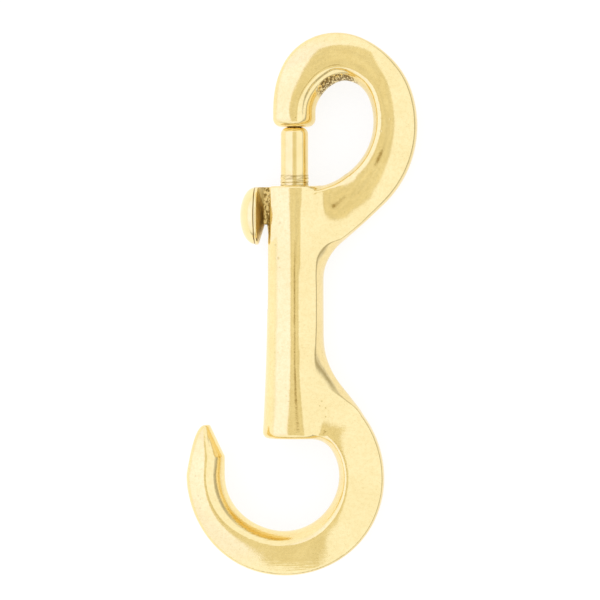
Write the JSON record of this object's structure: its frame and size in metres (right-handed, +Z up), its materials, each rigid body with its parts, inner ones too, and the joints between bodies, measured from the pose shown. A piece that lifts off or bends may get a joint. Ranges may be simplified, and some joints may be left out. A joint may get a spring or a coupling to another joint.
{
  "type": "bolt snap hook",
  "caption": "Open-eye bolt snap: a sprung bolt, drawn back by a thumb knob, shuts the snap hook at one end of the barrel, and a pointed open hook bends off the other end.",
  "frame": {"origin": "centre of the bounding box's base, under the snap as it lies flat", "axes": "+Y runs along the barrel from the open hook to the snap hook, +X points away from the thumb knob, +Z points up through the flat of both hooks"},
  "size_m": [0.0422, 0.099, 0.0116],
  "materials": {
    "cast_brass": "polished casting",
    "turned_brass": "turned and polished",
    "spring_steel": "drawn wire"
  },
  "bodies": {
    "hook": {"body": "cast_brass", "spring": "spring_steel"},
    "sliding_bolt": {"bolt": "turned_brass", "thumb_knob": "turned_brass"}
  },
  "joints": [
    {"name": "bolt_slide", "type": "slide", "parent": "hook", "child": "sliding_bolt", "axis": [0, -1, 0], "range_m": [0, 0.011], "stiffness_N_per_m": 500, "springref_m": -0.01, "deforming": ["spring"]}
  ]
}
